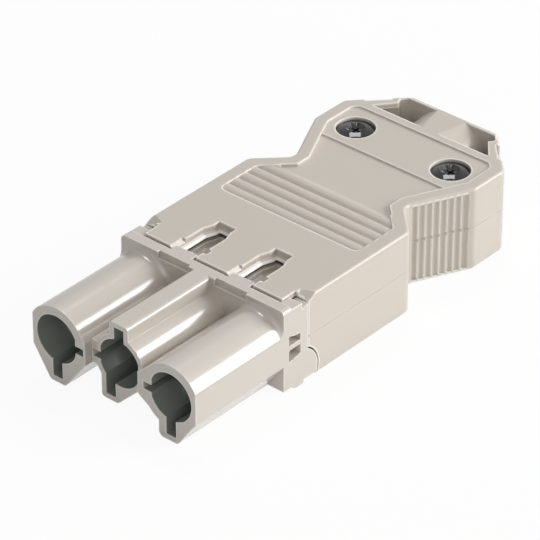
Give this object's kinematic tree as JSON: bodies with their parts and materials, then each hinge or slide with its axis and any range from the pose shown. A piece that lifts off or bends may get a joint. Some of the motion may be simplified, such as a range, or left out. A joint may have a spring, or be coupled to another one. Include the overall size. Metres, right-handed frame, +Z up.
{
  "type": "male installation connector",
  "caption": "Pluggable installation connector, male half, with shrouded round pins, screw terminals and a hinged strain-relief housing that clamps the cable.",
  "frame": {"origin": "under the middle of the connector's bounding box, on its underside", "axes": "X across the poles, +Y from the mating end towards the cable end, +Z up through the face with the screw heads"},
  "size_m": [0.03, 0.0734, 0.0137],
  "materials": {
    "housing_plastic": "light grey moulded plastic, satin to glossy",
    "shell_plastic": "light grey moulded plastic, satin",
    "contact_brass": "tin-plated brass",
    "terminal_brass": "bright brass",
    "plated_steel": "zinc-plated steel",
    "black_steel": "glossy black steel"
  },
  "bodies": {
    "base": {"contact_housing": "housing_plastic", "lower_shell": "shell_plastic", "contact_pin_left": "contact_brass", "contact_pin_middle": "contact_brass", "contact_pin_right": "contact_brass", "terminal_left": "terminal_brass", "terminal_middle": "terminal_brass", "terminal_right": "terminal_brass", "clamp_nut_left": "terminal_brass", "clamp_nut_right": "terminal_brass"},
    "lid": {"upper_shell": "shell_plastic"},
    "clamp_washer_left": {"clamp_washer_left": "plated_steel"},
    "clamp_screw_left": {"clamp_screw_left": "black_steel"},
    "clamp_washer_right": {"clamp_washer_right": "plated_steel"},
    "clamp_screw_right": {"clamp_screw_right": "black_steel"},
    "pressure_plate_left": {"pressure_plate_left": "plated_steel"},
    "terminal_screw_left": {"terminal_screw_left": "plated_steel"},
    "pressure_plate_middle": {"pressure_plate_middle": "plated_steel"},
    "terminal_screw_middle": {"terminal_screw_middle": "plated_steel"},
    "pressure_plate_right": {"pressure_plate_right": "plated_steel"},
    "terminal_screw_right": {"terminal_screw_right": "plated_steel"}
  },
  "joints": [
    {"name": "lid_hinge", "type": "hinge", "parent": "base", "child": "lid", "pos_m": [0, -0.01528, 0.01245], "axis": [1, 0, 0], "range_deg": [0, 90]},
    {"name": "clamp_travel_left", "type": "slide", "parent": "lid", "child": "clamp_washer_left", "axis": [0, 0, -1], "range_m": [0, 0.004]},
    {"name": "clamp_turn_left", "type": "hinge", "parent": "clamp_washer_left", "child": "clamp_screw_left", "pos_m": [-0.00885, 0.02474, 0.01275], "axis": [0, 0, -1], "range_deg": [0, 2060]},
    {"name": "clamp_travel_right", "type": "slide", "parent": "lid", "child": "clamp_washer_right", "axis": [0, 0, -1], "range_m": [0, 0.004]},
    {"name": "clamp_turn_right", "type": "hinge", "parent": "clamp_washer_right", "child": "clamp_screw_right", "pos_m": [0.00885, 0.02474, 0.01275], "axis": [0, 0, -1], "range_deg": [0, 2060]},
    {"name": "wire_clamp_travel_left", "type": "slide", "parent": "base", "child": "pressure_plate_left", "axis": [0, 0, -1], "range_m": [0, 0.0016]},
    {"name": "wire_clamp_turn_left", "type": "hinge", "parent": "pressure_plate_left", "child": "terminal_screw_left", "pos_m": [-0.0105, -0.00089, 0.01175], "axis": [0, 0, -1], "range_deg": [0, 1155]},
    {"name": "wire_clamp_travel_middle", "type": "slide", "parent": "base", "child": "pressure_plate_middle", "axis": [0, 0, -1], "range_m": [0, 0.0016]},
    {"name": "wire_clamp_turn_middle", "type": "hinge", "parent": "pressure_plate_middle", "child": "terminal_screw_middle", "pos_m": [0, -0.00089, 0.01175], "axis": [0, 0, -1], "range_deg": [0, 1155]},
    {"name": "wire_clamp_travel_right", "type": "slide", "parent": "base", "child": "pressure_plate_right", "axis": [0, 0, -1], "range_m": [0, 0.0016]},
    {"name": "wire_clamp_turn_right", "type": "hinge", "parent": "pressure_plate_right", "child": "terminal_screw_right", "pos_m": [0.0105, -0.00089, 0.01175], "axis": [0, 0, -1], "range_deg": [0, 1155]}
  ],
  "couplings": [
    {"joint": "clamp_turn_left", "follows": "clamp_travel_left", "rad_per_m": 8976},
    {"joint": "clamp_turn_right", "follows": "clamp_travel_right", "rad_per_m": 8976},
    {"joint": "wire_clamp_turn_left", "follows": "wire_clamp_travel_left", "rad_per_m": 12566},
    {"joint": "wire_clamp_turn_middle", "follows": "wire_clamp_travel_middle", "rad_per_m": 12566},
    {"joint": "wire_clamp_turn_right", "follows": "wire_clamp_travel_right", "rad_per_m": 12566}
  ]
}
